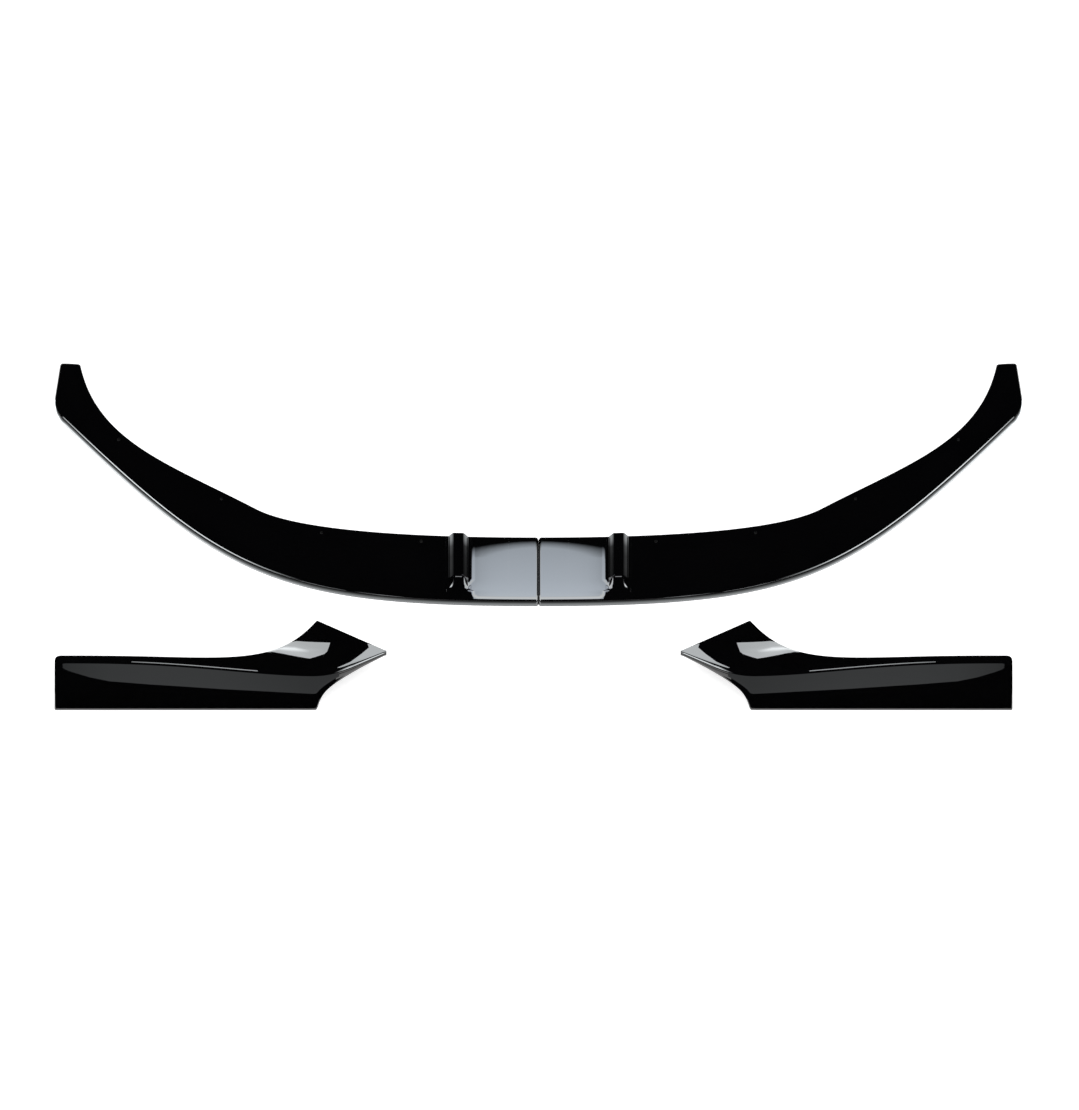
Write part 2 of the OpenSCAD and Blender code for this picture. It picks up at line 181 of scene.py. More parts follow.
def lip_mark(along=0, front=0, rear=0, turn=0, stand=1):
    """One point of a section, as marks that the node tree turns into a place: its share of the
    way over the blade, the radius it belongs to, the angle round that, and nought on the ground."""
    return dict(along=along, front=front, rear=rear, turn=turn, stand=stand)


upright = math.pi / 2
arc = np.radians(np.linspace(0, 90, 9))
front_field, rear_field = 0.012, 0.048
crossing = np.concatenate([
    even(blade_start, front_field, 0.0009)[1:], even(front_field, rear_field, 0.0012)[1:],
    even(rear_field, blade_end, 0.007)[1:-1]])
lip_marks = (
    [lip_mark(front=1, stand=0)]
    + [lip_mark(front=1, turn=a) for a in arc]
    + [lip_mark(along=(s - blade_start) / (blade_end - blade_start), turn=upright)
       for s in crossing]
    + [lip_mark(along=1, rear=1, turn=a) for a in arc[::-1]]
    + [lip_mark(along=1, rear=1, stand=0)]
)


def keep(mesh, name, values, kind="FLOAT", domain="POINT"):
    """Keeps one value on each point or face of a mesh."""
    mesh.attributes.new(name, kind, domain).data.foreach_set("value", values)


def set_out(name, data):
    """A new object in the scene, at the origin."""
    piece = bpy.data.objects.new(name, data)
    bpy.context.scene.collection.objects.link(piece)
    return piece


def blank(name, marks, stations, lining_stations):
    """A closed tray as a flat blank: skin, lining, rim and end walls, with its points' marks."""
    rows = [(station, 0.0) for station in stations]
    rows += [(station, wall) for station in lining_stations]
    across, length = len(marks), len(stations)
    last = length - 1
    points = [(i * 0.001, j * 0.001, thick) for i, (_, thick) in enumerate(rows)
              for j in range(across)]

    def skin(i, j):
        return i * across + j

    def lining(i, j):
        return (length + i) * across + j

    faces, inner = [], []
    for i in range(last):
        n = i + 1
        for j in range(across - 1):
            faces.append((skin(i, j), skin(n, j), skin(n, j + 1), skin(i, j + 1)))
            faces.append((lining(i, j), lining(i, j + 1), lining(n, j + 1), lining(n, j)))
            inner += [False, True]
        rim = across - 1
        faces.append((skin(i, 0), lining(i, 0), lining(n, 0), skin(n, 0)))
        faces.append((lining(i, rim), skin(i, rim), skin(n, rim), lining(n, rim)))
        inner += [False, False]
    faces.append([skin(0, j) for j in range(across)])
    faces.append([skin(last, j) for j in reversed(range(across))])
    faces.append([lining(0, j) for j in reversed(range(across))])
    faces.append([lining(last, j) for j in range(across)])
    faces.append((skin(0, 0), skin(0, rim), lining(0, rim), lining(0, 0)))
    faces.append((lining(last, 0), lining(last, rim), skin(last, rim), skin(last, 0)))
    inner += [False, False, True, True, False, False]
    mesh = bpy.data.meshes.new(name)
    mesh.from_pydata(points, [], faces)
    keep(mesh, "inner", inner, "BOOLEAN", "FACE")
    for mark in marks[0]:
        keep(mesh, mark, [m[mark] for _ in rows for m in marks])
    for mark in rows[0][0]:
        keep(mesh, mark, [station[mark] for station, _ in rows for _ in marks])
    keep(mesh, "thick", [thick for _, thick in rows for _ in marks])
    return set_out(name, mesh)


def lip_station(run):
    """Where a section stands: front point, direction, depth and the draw of its end radius."""
    front, rear = front_edge(run), rear_edge(run)
    depth = float(np.linalg.norm(rear - front))
    ahead = (rear - front) / depth
    ends = rounded(seam_radius, run - seam_end) + rounded(tip_radius, run_tip - run)
    return dict(run=run, front_x=front[0], front_y=front[1], ahead_x=ahead[0], ahead_y=ahead[1],
                depth=depth, ends=ends)


def feed(node, inputs):
    """Gives each named input of a node a plain value, or what another node puts out."""
    for name, value in inputs.items():
        value = value.socket if isinstance(value, Field) else value
        if isinstance(value, bpy.types.NodeSocket):
            node.id_data.links.new(value, node.inputs[name])
        else:
            node.inputs[name].default_value = value


def add_node(tree, kind, inputs=None, **settings):
    node = tree.nodes.new(kind)
    for name, value in settings.items():
        setattr(node, name, value)
    feed(node, inputs or {})
    return node


class Field:
    """A value that varies over a mesh, so that a tree's rule can be written as arithmetic."""

    def __init__(self, tree, socket):
        self.tree, self.socket = tree, socket

    def step(self, operation, *others):
        values = dict(enumerate((self, *others)))
        node = add_node(self.tree, "ShaderNodeMath", values, operation=operation)
        return Field(self.tree, node.outputs[0])

    def __add__(self, other):
        return self.step("ADD", other)

    def __sub__(self, other):
        return self.step("SUBTRACT", other)

    def __mul__(self, other):
        return self.step("MULTIPLY", other)

    def __truediv__(self, other):
        return self.step("DIVIDE", other)

    def __rsub__(self, other):
        return self.step("MULTIPLY_ADD", -1.0, other)

    __radd__ = __add__
    __rmul__ = __mul__

    def least(self, value):
        return self.step("MINIMUM", value)

    def most(self, value):
        return self.step("MAXIMUM", value)

    def between(self, low, high):
        return self.most(low).least(high)

    def eased(self, upper, lower):
        """Held between nought and one, with its upper and its lower corner rounded."""
        return self.step("SMOOTH_MIN", 1.0, upper).step("SMOOTH_MAX", 0.0, lower)


class Tree:
    """A geometry node tree with named sizes and materials as inputs."""

    def __init__(self, name, sizes, materials):
        self.tree = bpy.data.node_groups.new(name, "GeometryNodeTree")
        sockets = self.tree.interface
        sockets.new_socket("Geometry", in_out="INPUT", socket_type="NodeSocketGeometry")
        for size in sizes:
            sockets.new_socket(size, in_out="INPUT", socket_type="NodeSocketFloat")
        for material in materials:
            sockets.new_socket(material, in_out="INPUT", socket_type="NodeSocketMaterial")
        sockets.new_socket("Geometry", in_out="OUTPUT", socket_type="NodeSocketGeometry")
        self.given = self.tree.nodes.new("NodeGroupInput")
        self.result = self.tree.nodes.new("NodeGroupOutput")

    def add(self, kind, inputs=None, **settings):
        """Adds a node and hands on its first output."""
        return add_node(self.tree, kind, inputs, **settings).outputs[0]

    def size(self, name):
        return Field(self.tree, self.given.outputs[name])

    def read(self, name, kind="FLOAT"):
        wanted = {"Name": name}
        node = add_node(self.tree, "GeometryNodeInputNamedAttribute", wanted, data_type=kind)
        return Field(self.tree, node.outputs["Attribute"])

    def reads(self, *names):
        return [self.read(name) for name in names]

    def join(self, x=0.0, y=0.0, z=0.0):
        return self.add("ShaderNodeCombineXYZ", {"X": x, "Y": y, "Z": z})

    def place(self, geometry, x, y, z):
        """Sets every point to x, y, z."""
        return self.add("GeometryNodeSetPosition", {0: geometry, "Position": self.join(x, y, z)})

    def copies(self, shape):
        """Sets a copy of the shape on every point that comes in, as real geometry."""
        spread = self.add(
            "GeometryNodeInstanceOnPoints", {0: self.given.outputs[0], "Instance": shape})
        return self.add("GeometryNodeRealizeInstances", {0: spread})

    def paint(self, geometry, material, where=True):
        return self.add("GeometryNodeSetMaterial", {
            0: geometry, "Selection": where, "Material": self.given.outputs[material]})

    def end(self, geometry):
        self.tree.links.new(geometry, self.result.inputs[0])
        return self.tree


def mould(piece, tree, values):
    """Runs a tree on a piece with the given sizes and keeps the result as its plain mesh."""
    modifier = piece.modifiers.new(tree.name, "NODES")
    modifier.node_group = tree
    for socket in tree.interface.items_tree:
        if socket.in_out == "INPUT" and socket.name in values:
            modifier[socket.identifier] = values[socket.name]
    piece.update_tag()
    return harden(piece)


real_edge = math.radians(34)


def harden(piece):
    """Turns a piece with modifiers into a plain mesh, smooth but for its real edges."""
    depsgraph = bpy.context.evaluated_depsgraph_get()
    evaluated = piece.evaluated_get(depsgraph)
    mesh = bpy.data.meshes.new_from_object(evaluated, depsgraph=depsgraph)
    old = piece.data
    piece.modifiers.clear()
    piece.data = mesh
    bpy.data.meshes.remove(old)
    for mark in [a.name for a in mesh.attributes if a.data_type in ("FLOAT", "BOOLEAN")]:
        kept = mesh.attributes.get(mark)
        if not kept.is_internal and not kept.is_required and not mark.startswith("sharp"):
            mesh.attributes.remove(kept)
    mesh.polygons.foreach_set("use_smooth", [True] * len(mesh.polygons))
    mesh.set_sharp_from_angle(angle=real_edge)
    return piece


blade_sizes = {
    "Front height": front_height, "Rear height": rear_height, "Crown": crown,
    "Fin out": fin_out, "Fin width": fin_width, "Fin flare": fin_flare, "Fin height": fin_height,
    "Fin start": fin_start, "Fin ramp": fin_ramp,
    "Panel out": panel_out, "Panel dip": panel_dip, "Panel border": panel_border,
    "Panel corner": panel_corner, "Panel front": panel_front,
    "Horn out": horn_out, "Horn at": horn_at, "Horn lead": horn_lead, "Horn back": horn_back,
}


def blade_height(tree, run, behind, depth, thin):
    """Height of the blade over the ground: straight rise, crown, fin and the dip of the panel."""
    share = behind / depth
    low = tree.size("Front height")
    rise = low + (tree.size("Rear height") - low) * share
    bow = tree.size("Crown") * 4.0 * share * (1.0 - share)
    aside = (run - tree.size("Fin out")).step("ABSOLUTE")
    flare = tree.size("Fin flare")
    flank = (tree.size("Fin width") * 0.5 + flare - thin - aside) / flare
    ramp = (behind - tree.size("Fin start") - thin) / tree.size("Fin ramp")
    fin = tree.size("Fin height") * flank.eased(0.5, 0.1) * ramp.eased(0.25, 0.25)
    corner, point = tree.size("Panel corner"), tree.size("Horn at")
    rising = (behind - point) / tree.size("Horn back")
    falling = (point - behind) / tree.size("Horn lead")
    horn = tree.size("Horn out") * (rising.least(falling) + 1.0).between(0.0, 1.0)
    side = (corner - tree.size("Panel out") - horn + run).most(0.0)
    front = (corner - behind + tree.size("Panel front")).most(0.0)
    inside = corner - (side * side + front * front).step("SQRT")
    dip = tree.size("Panel dip") * (inside / tree.size("Panel border")).eased(0.3, 0.3)
    return rise + bow + fin - dip * (1.0 - share)


lip_tree = Tree(
    "moulded blade",
    [*blade_sizes, "Nose radius", "Rear radius", "Face draft", "Least radius"],
    ["Skin", "Lining"])
thick, ends, run, depth, along, at_front, at_rear, turn, stand = lip_tree.reads(
    "thick", "ends", "run", "depth", "along", "front", "rear", "turn", "stand")
front_x, front_y, ahead_x, ahead_y = lip_tree.reads("front_x", "front_y", "ahead_x", "ahead_y")
draft, least = lip_tree.size("Face draft"), lip_tree.size("Least radius")
held = ends + thick
nose = (lip_tree.size("Nose radius") - thick).most(least)
heel = (lip_tree.size("Rear radius") - thick).most(least)
begin = held + draft + nose
finish = depth - held - heel
middle = begin + (finish - begin) * along
top = blade_height(lip_tree, run, middle, depth, thick * fin_lining) - held
radius = nose * at_front + heel * at_rear
out = turn.step("COSINE") * (heel * at_rear - nose * at_front)
behind = middle + out - (1.0 - stand) * at_front * draft
height = (top - radius * (1.0 - turn.step("SINE"))) * stand
shaped = lip_tree.place(
    lip_tree.given.outputs[0], front_x + ahead_x * behind, front_y + ahead_y * behind, height)
painted = lip_tree.paint(shaped, "Skin")
lined = lip_tree.paint(painted, "Lining", lip_tree.read("inner", "BOOLEAN"))
lip_tree = lip_tree.end(lined)


def surface(name, tones, polish, shine, coat, peel, grain):
    """A moulded plastic: its colour and its polish drift a little between two values, and its
    relief has two sizes, each given as scale and depth."""
    material = bpy.data.materials.new(name)
    material.use_nodes = True
    tree = material.node_tree
    place = add_node(tree, "ShaderNodeTexCoord").outputs["Object"]

    def noise(scale, detail):
        inputs = {"Vector": place, "Scale": scale, "Detail": detail}
        return add_node(tree, "ShaderNodeTexNoise", inputs).outputs["Fac"]

    def relief(scale, depth):
        return add_node(
            tree, "ShaderNodeBump", {"Height": noise(scale, 2.0), "Distance": depth})

    tone = add_node(tree, "ShaderNodeValToRGB", {"Fac": noise(9.0, 3.0)})
    for element, colour in zip(tone.color_ramp.elements, tones):
        element.color = (*colour, 1)
    haze = add_node(tree, "ShaderNodeMapRange", {
        "Value": noise(60.0, 4.0), "To Min": polish[0], "To Max": polish[1]})
    first, second = relief(*peel), relief(*grain)
    feed(second, {"Normal": first.outputs["Normal"]})
    shader = tree.nodes["Principled BSDF"]
    feed(shader, {
        "Base Color": tone.outputs["Color"], "Roughness": haze.outputs["Result"], "IOR": 1.5,
        "Specular IOR Level": shine, "Coat Weight": coat, "Coat Roughness": 0.012,
        "Coat IOR": 1.5, "Normal": second.outputs["Normal"]})
    if coat:
        feed(shader, {"Coat Normal": first.outputs["Normal"]})
    return material


lacquer = surface(
    "lacquered_black", ((0.0008, 0.0008, 0.0010), (0.0016, 0.0016, 0.0019)),
    polish=(0.02, 0.05), shine=0.5, coat=0.6, peel=(130.0, 0.000006), grain=(900.0, 0.000001))
raw_plastic = surface(
    "raw_black_plastic", ((0.006, 0.006, 0.0065), (0.011, 0.011, 0.0115)),
    polish=(0.42, 0.60), shine=0.1, coat=0.0, peel=(420.0, 0.00004), grain=(2600.0, 0.00002))

lip_values = {
    **blade_sizes, "Nose radius": nose_radius, "Rear radius": rear_radius,
    "Face draft": face_draft, "Least radius": least_radius, "Skin": lacquer,
    "Lining": raw_plastic}
lip_stations = [lip_station(run) for run in lip_runs]
lining_stations = [lip_station(hold_clear(run, seam_end, run_tip)) for run in lip_runs]
lip_right = mould(
    blank("lip_right_shell", lip_marks, lip_stations, lining_stations), lip_tree, lip_values)
leading_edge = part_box("lip_right")[0].y - min(v.co.y for v in lip_right.data.vertices)
lip_right.data.transform(Matrix.Translation((0, leading_edge, 0)))

# The screw holes and the two joining holes of each half
# Each half is screwed up into the bumper through bosses near its rear edge, and bolted to the
# other half through its end wall. The holes are moulded in, straight and smooth.
screw_bore, screw_inset, screw_count = 0.0065, 0.014, 4
join_bore, join_first, join_pitch, join_count = 0.0065, 0.034, 0.062, 2
screw_runs = np.linspace(square_run, run_nose - 0.060, screw_count)


def screw_place(run, height):
    """A bumper screw stands a fixed distance ahead of the rear edge."""
    front, rear = front_edge(run), rear_edge(run)
    x, y = rear + screw_inset * (front - rear) / np.linalg.norm(front - rear)
    return Vector((x, y + leading_edge, height))


def drill(piece, bores):
    """Cuts round holes, each given as its middle, its direction, its diameter and its length."""
    points, faces, sides = [], [], 48
    for middle, direction, bore, length in bores:
        turned = Vector(direction).to_track_quat("Z", "Y").to_matrix().to_4x4()
        first = len(points)
        for end in (-0.5, 0.5):
            for k in range(sides):
                a = 2 * math.pi * k / sides
                rim = Vector((bore / 2 * math.cos(a), bore / 2 * math.sin(a), end * length))
                points.append(Vector(middle) + turned @ rim)
        for k in range(sides):
            n = (k + 1) % sides
            faces.append((first + k, first + n, first + sides + n, first + sides + k))
        faces.append([first + k for k in reversed(range(sides))])
        faces.append([first + sides + k for k in range(sides)])
    mesh = bpy.data.meshes.new("drills")
    mesh.from_pydata(points, [], faces)
    mesh.materials.append(raw_plastic)
    drills = set_out("drills", mesh)
    cut = piece.modifiers.new("holes", "BOOLEAN")
    cut.operation, cut.solver, cut.material_mode = "DIFFERENCE", "EXACT", "TRANSFER"
    cut.object = drills
    harden(piece)
    bpy.data.objects.remove(drills)


bores = [(screw_place(run, 0.02), (0, 0, 1), screw_bore, 0.06) for run in screw_runs]
for k in range(join_count):
    join_place = (seam_end + wall / 2, leading_edge + join_first + k * join_pitch, front_height / 2)
    bores.append((join_place, (1, 0, 0), join_bore, 0.02))
drill(lip_right, bores)


def mirrored(piece, name):
    """The other half: the same moulding turned over left to right."""
    twin = set_out(name, piece.data.copy())
    twin.data.transform(Matrix.Diagonal((-1, 1, 1, 1)))
    twin.data.flip_normals()
    twin.data.set_sharp_from_angle(angle=real_edge)
    return twin


lip_left = mirrored(lip_right, "lip_left_shell")
for piece, node in ((lip_right, "lip_right"), (lip_left, "lip_left")):
    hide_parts(node)
    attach(piece, "root")

# The ribs and screw bosses under the lip
# Thin ribs cross each tray to stiffen it, and round bosses take the screws. They are moulded in
# one with the tray in the same black ABS, and left as they come from the mould.
rib_thickness, rib_clear, rib_count, sink = 0.0024, 0.006, 5, 0.0008
boss_width, boss_roof = 0.014, 0.0221
rib_tree = Tree(
    "ribs under the blade",
    [*blade_sizes, "Rib thickness", "Rib foot", "Wall", "Sink", "Face draft"], ["Plastic"])
bar = rib_tree.add("GeometryNodeMeshCube", {
    "Size": (1, 1, 1), "Vertices X": 2, "Vertices Y": 14, "Vertices Z": 2})
marked = rib_tree.add(
    "GeometryNodeStoreNamedAttribute",
    {0: bar, "Name": "part", "Value": rib_tree.add("GeometryNodeInputPosition")},
    data_type="FLOAT_VECTOR", domain="POINT")
real = rib_tree.copies(marked)
part = rib_tree.read("part", "FLOAT_VECTOR")
split = add_node(rib_tree.tree, "ShaderNodeSeparateXYZ", {0: part})
aside, ahead, up = (Field(rib_tree.tree, split.outputs[k]) for k in range(3))
run, depth, front_x, front_y, ahead_x, ahead_y = rib_tree.reads(
    "run", "depth", "front_x", "front_y", "ahead_x", "ahead_y")
reach = rib_tree.size("Wall") - rib_tree.size("Sink")
start = reach + rib_tree.size("Face draft")
behind = start + (depth - reach - start) * (ahead + 0.5)
top = blade_height(rib_tree, run, behind, depth, rib_tree.size("Wall")) - reach
foot = rib_tree.size("Rib foot")
side = aside * rib_tree.size("Rib thickness")
formed = rib_tree.place(
    real, front_x + ahead_x * behind + ahead_y * side,
    front_y + ahead_y * behind - ahead_x * side, foot + (top - foot) * (up + 0.5))
rib_tree = rib_tree.end(rib_tree.paint(formed, "Plastic"))


def points_with(name, places, stations=()):
    """Loose points for a tree to set copies on; each may carry its station's values."""
    mesh = bpy.data.meshes.new(name)
    mesh.from_pydata(places, [], [])
    for value in stations[0] if stations else ():
        keep(mesh, value, [station[value] for station in stations])
    return set_out(name, mesh)


rib_runs = np.linspace(fin_out + fin_foot + 0.018, run_nose - 0.020, rib_count)
rib_stations = [lip_station(run) for run in rib_runs]
ribs = points_with("lip_right_ribs", [(0, 0, 0)] * rib_count, rib_stations)
mould(ribs, rib_tree, {
    **blade_sizes, "Rib thickness": rib_thickness, "Rib foot": rib_clear, "Wall": wall,
    "Sink": sink, "Face draft": face_draft, "Plastic": raw_plastic})
ribs.data.transform(Matrix.Translation((0, leading_edge, 0)))

boss_tree = Tree("screw bosses", ["Boss width", "Bore", "Boss foot", "Boss top"], ["Plastic"])
width, bore = boss_tree.size("Boss width"), boss_tree.size("Bore")
height = boss_tree.size("Boss top") - boss_tree.size("Boss foot")
path = boss_tree.add(
    "GeometryNodeCurvePrimitiveCircle",
    {"Resolution": 48, "Radius": (width + bore) * 0.25}, mode="RADIUS")
edge = boss_tree.add(
    "GeometryNodeCurvePrimitiveQuadrilateral",
    {0: (width - bore) * 0.5, 1: height}, mode="RECTANGLE")
tube = boss_tree.add("GeometryNodeCurveToMesh", {0: path, "Profile Curve": edge})
boss_tree = boss_tree.end(boss_tree.paint(boss_tree.copies(tube), "Plastic"))
boss_top = boss_roof - wall + sink
boss_places = [screw_place(run, (rib_clear + boss_top) / 2) for run in screw_runs]
bosses = points_with("lip_right_bosses", boss_places)
mould(bosses, boss_tree, {
    "Boss width": boss_width, "Bore": screw_bore, "Boss foot": rib_clear, "Boss top": boss_top,
    "Plastic": raw_plastic})
for piece in (ribs, bosses):
    twin = mirrored(piece, piece.name.replace("right", "left"))
    for half in (piece, twin):
        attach(half, "root")

# The corner pieces
# Two mirrored mouldings that carry the lip's line round the bumper's corners: a bar with a
# swelling face, a narrow top face, and a flat wing at the inner end. Same ABS and same lacquer,
# hollow behind.
corner_length, bar_length, bar_height, wing_height = 0.601, 0.476, 0.112, 0.083
ledge_width, wing_back, tip_back = 0.018, 0.166, 0.072
wing_edge, wing_tip = 0.009, 0.004
crease_radius, end_radius, end_rounding, face_swell = 0.007, 0.011, 0.0025, 0.005
lining_end = 0.013
lean = math.atan((wing_height - wing_edge) / wing_back)
wing_root = bar_length - 0.001
ledge_curve = np.array([
    [0, ledge_width], [0.7 * wing_root, ledge_width], [wing_root - 0.070, ledge_width + 0.016],
    [wing_root, wing_back]])
wing_front = np.array([
    [bar_length - 0.016, 0], [bar_length + 0.032, 0], [bar_length + 0.044, 0.012],
    [corner_length, tip_back - wing_tip]])
wing_under = np.array([
    [bar_length - 0.001, 0], [bar_length + 0.008, wing_height / 2],
    [bar_length + 0.020, wing_height - 0.017], [corner_length, wing_height - wing_edge]])


def corner_crest(x):
    """Height of the crest at x: it falls towards the wing and rounds off at the plain end."""
    t = min(1.0, x / wing_root)
    fall = (wing_height - bar_height) * t**3 * (4 - 3 * t)
    return bar_height + fall - rounded(end_radius, x)


def corner_station(x):
    """The four rails of a corner piece at x: face, lower edge, rear edge of the top, and crest."""
    face = 0.0 if x <= wing_front[0][0] else curve_over(wing_front, x)[1]
    under = 0.0 if x <= wing_under[0][0] else curve_over(wing_under, x)[1]
    if x <= wing_root:
        ledge = curve_over(ledge_curve, x)[1]
    else:
        ledge = wing_back + (tip_back - wing_back) * (x - wing_root) / (corner_length - wing_root)
    return dict(x=x, face=face, under=max(under, face * math.tan(lean)), ledge=ledge,
                crest=corner_crest(x), ends=rounded(end_rounding, x))


def corner_mark(over=0, bend=0, heel=0, turn=0, up=1, foot=0, drop=0):
    """One point of a section: its share of the way up the face and over the top, the radius it
    belongs to, the angle round that or round the lower edge, and one at the edge's foot."""
    return dict(over=over, bend=bend, heel=heel, turn=turn, up=up, foot=foot, drop=drop)


corner_marks = (
    [corner_mark(bend=1, up=0, foot=a) for a in np.radians([90, 67.5, 45, 22.5])]
    + [corner_mark(bend=1, up=f) for f in np.linspace(0, 1, 19)[:-1]]
    + [corner_mark(bend=1, turn=a) for a in np.radians(np.linspace(0, 90, 11))]
    + [corner_mark(over=f, turn=upright) for f in np.linspace(0, 1, 15)[1:-1]]
    + [corner_mark(over=1, heel=1, turn=a) for a in np.radians([90, 70, 50, 30, 15, 0])]
    + [corner_mark(over=1, heel=1, drop=1)]
)
corner_tree = Tree(
    "moulded corner piece",
    ["Swell", "Bar height", "Crease radius", "Edge radius", "Edge depth", "Lean", "Least radius"],
    ["Skin", "Lining"])
thick, at_bend, at_heel, turn, up, foot, drop, crest = corner_tree.reads(
    "thick", "bend", "heel", "turn", "up", "foot", "drop", "crest")
least, edge_radius = corner_tree.size("Least radius"), corner_tree.size("Edge radius")
held = corner_tree.read("ends") + thick
y0 = corner_tree.read("face") + held
y1 = corner_tree.read("ledge") - held
small = (y1 - y0) * 0.25
skin = 1.0 - thick.step("GREATER_THAN", 0.0001)
lip = edge_radius.least(small) * skin
z0 = corner_tree.read("under") + (held + lip) * corner_tree.size("Lean").step("TANGENT")
z1 = crest - held
swell = corner_tree.size("Swell") * ((z1 - z0) / corner_tree.size("Bar height")).between(0.0, 1.0)
room = ((y1 - y0) * 0.4).least((z1 - z0) * 0.4)
bend = (corner_tree.size("Crease radius").least(room) - thick).most(least)
heel = (edge_radius.least(small) - thick).most(least)
y = y0 + bend + (y1 - heel - y0 - bend) * corner_tree.read("over")
y = y + turn.step("COSINE") * (heel * at_heel - bend * at_bend)
y = y - swell * 4.0 * up * (1.0 - up) + lip * (1.0 - foot.step("COSINE"))
z = z1 - (bend * at_bend + heel * at_heel) * (1.0 - turn.step("SINE"))
z = z0 + lip + (z - z0 - lip) * up - lip * foot.step("SINE")
z = z + (crest - corner_tree.size("Edge depth") - z) * drop
shaped = corner_tree.place(corner_tree.given.outputs[0], corner_tree.read("x"), y, z)
painted = corner_tree.paint(shaped, "Skin")
lined = corner_tree.paint(painted, "Lining", corner_tree.read("inner", "BOOLEAN"))
corner_tree = corner_tree.end(lined)

corner_runs = np.unique(np.round(np.concatenate([
    end_rounding * (1 - np.sin(turns)),
    end_radius * (1 - np.sin(np.radians(np.arange(48, -1, -6)))),
    even(0.016, 0.420, 0.010),
    even(0.422, bar_length + 0.030, 0.0025),
    even(bar_length + 0.033, corner_length, 0.004),
]), 6))
corner_skin = [corner_station(x) for x in corner_runs]
corner_lining = [
    corner_station(hold_clear(x, 0.0, corner_length, far=lining_end)) for x in corner_runs]
corner_left = mould(
    blank("corner_left_shell", corner_marks, corner_skin, corner_lining), corner_tree,
    {"Swell": face_swell, "Bar height": bar_height, "Crease radius": crease_radius,
     "Edge radius": rear_radius, "Edge depth": wing_edge, "Lean": lean,
     "Least radius": least_radius, "Skin": lacquer, "Lining": raw_plastic})
laid = Matrix.Rotation(-lean, 4, "X")
corner_left.data.transform(laid)
low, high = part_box("corner_left")
shift = Vector([low[k] - min(v.co[k] for v in corner_left.data.vertices) for k in range(3)])
laid = Matrix.Translation(shift) @ laid
corner_left.data.transform(Matrix.Translation(shift))
across = low.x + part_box("corner_right")[1].x
corner_right = mirrored(corner_left, "corner_right_shell")
corner_right.data.transform(Matrix.Translation((across, 0, 0)))
for piece, node in ((corner_left, "corner_left"), (corner_right, "corner_right")):
    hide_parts(node)
    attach(piece, "root")

# The lugs behind the corner pieces
# Flat lugs stand out behind the face of each bar, each with one hole for a screw into the
# bumper. Moulded in one with the bar, in bare plastic.
lug_count, lug_width, lug_reach, lug_height, lug_end = 3, 0.026, 0.022, 0.030, 0.060
lug_root, lug_bore = -0.0022, 0.0055
lug_tree = Tree(
    "lugs with a hole",
    ["Lug width", "Lug root", "Lug tip", "Lug thickness", "Bore", "Bore place"], ["Plastic"])
root, tip = lug_tree.size("Lug root"), lug_tree.size("Lug tip")
thickness = lug_tree.size("Lug thickness")
plate = lug_tree.add("GeometryNodeMeshCube", {
    "Size": lug_tree.join(lug_tree.size("Lug width"), tip - root, thickness)})
seated = lug_tree.add("GeometryNodeTransform", {
    0: plate, "Translation": lug_tree.join(y=(tip + root) * 0.5, z=thickness * 0.5)})
pin = lug_tree.add("GeometryNodeMeshCylinder", {
    "Vertices": 40, "Radius": lug_tree.size("Bore") * 0.5, "Depth": thickness * 4.0})
pinned = lug_tree.add("GeometryNodeTransform", {
    0: pin, "Translation": lug_tree.join(y=lug_tree.size("Bore place"))})
pierced = lug_tree.add(
    "GeometryNodeMeshBoolean", {"Mesh 1": seated, "Mesh 2": pinned},
    operation="DIFFERENCE", solver="EXACT")
lug_tree = lug_tree.end(lug_tree.paint(lug_tree.copies(pierced), "Plastic"))

lug_places = [(x, 0, lug_height) for x in np.linspace(lug_end, bar_length - lug_end, lug_count)]
lugs = points_with("corner_left_lugs", lug_places)
mould(lugs, lug_tree, {
    "Lug width": lug_width, "Lug root": lug_root, "Lug tip": wall + lug_reach,
    "Lug thickness": wall, "Bore": lug_bore, "Bore place": wall + lug_reach / 2,
    "Plastic": raw_plastic})

# The gussets behind the corner pieces
# A thin web joins face and top face between each two lugs, so that the crease stays straight.
# Moulded in one with the bar, in bare plastic.
gusset_rise = 0.001


def gusset(x):
    """Outline of one web in the plane across the bar at x."""
    station = corner_station(x)
    crest, ledge = station["crest"], station["ledge"]
    fall = min(crest / 2, 3 * ledge)
    face_side, ledge_side, top = wall - sink, ledge - wall + sink, crest - wall + sink
    return [(face_side, crest - fall), (ledge_side, crest - wing_edge + gusset_rise),
            (ledge_side, top), (face_side, top)]


points, faces = [], []
for k in range(lug_count - 1):
    x = (lug_places[k][0] + lug_places[k + 1][0]) / 2
    first = len(points)
    for side in (-0.5, 0.5):
        points += [(x + side * rib_thickness, y, z) for y, z in gusset(x)]
    faces.append([first + n for n in (0, 3, 2, 1)])
    faces.append([first + 4 + n for n in range(4)])
    faces += [(first + n, first + (n + 1) % 4, first + 4 + (n + 1) % 4, first + 4 + n)
              for n in range(4)]
mesh = bpy.data.meshes.new("corner_left_gussets")
mesh.from_pydata(points, [], faces)
mesh.materials.append(raw_plastic)
gussets = set_out("corner_left_gussets", mesh)
for piece in (lugs, gussets):
    piece.data.transform(laid)
    twin = mirrored(piece, piece.name.replace("left", "right"))
    twin.data.transform(Matrix.Translation((across, 0, 0)))
    for half in (piece, twin):
        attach(half, "root")

